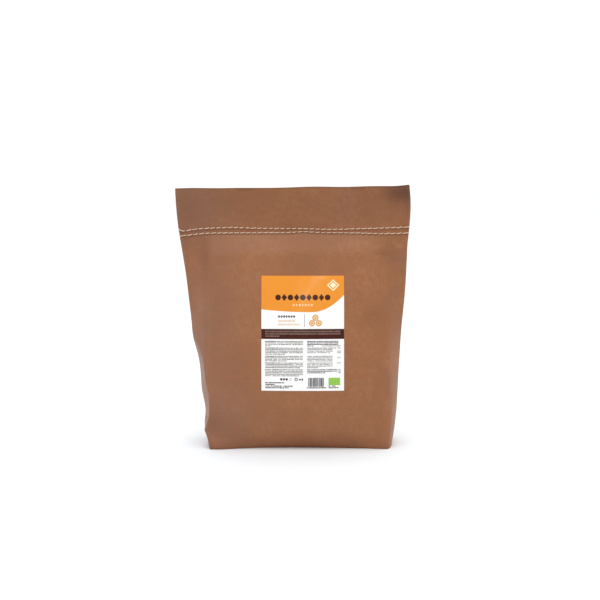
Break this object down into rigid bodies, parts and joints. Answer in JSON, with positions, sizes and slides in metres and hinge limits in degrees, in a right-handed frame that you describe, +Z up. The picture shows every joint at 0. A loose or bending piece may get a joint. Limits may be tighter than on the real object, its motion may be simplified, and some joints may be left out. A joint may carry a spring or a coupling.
{
  "type": "bag of chickpeas",
  "caption": "Upright block-bottom kraft paper bag of dried chickpeas, sewn shut under a free top band, with a rectangular paper label on its front.",
  "frame": {"origin": "middle of the bag's box, on the floor it stands on", "axes": "+Z up, +X to the bag's right as its labelled face is seen, the labelled face looks along -Y"},
  "size_m": [0.2794, 0.0868, 0.3114],
  "materials": {
    "kraft_paper": "satin",
    "label_paper": "semi-gloss",
    "cotton_thread": "matte"
  },
  "bodies": {
    "root": {"paper_bag": "kraft_paper", "front_label": "label_paper", "front_thread_upper": "cotton_thread", "front_thread_lower": "cotton_thread", "back_thread_upper": "cotton_thread", "back_thread_lower": "cotton_thread"}
  },
  "joints": []
}
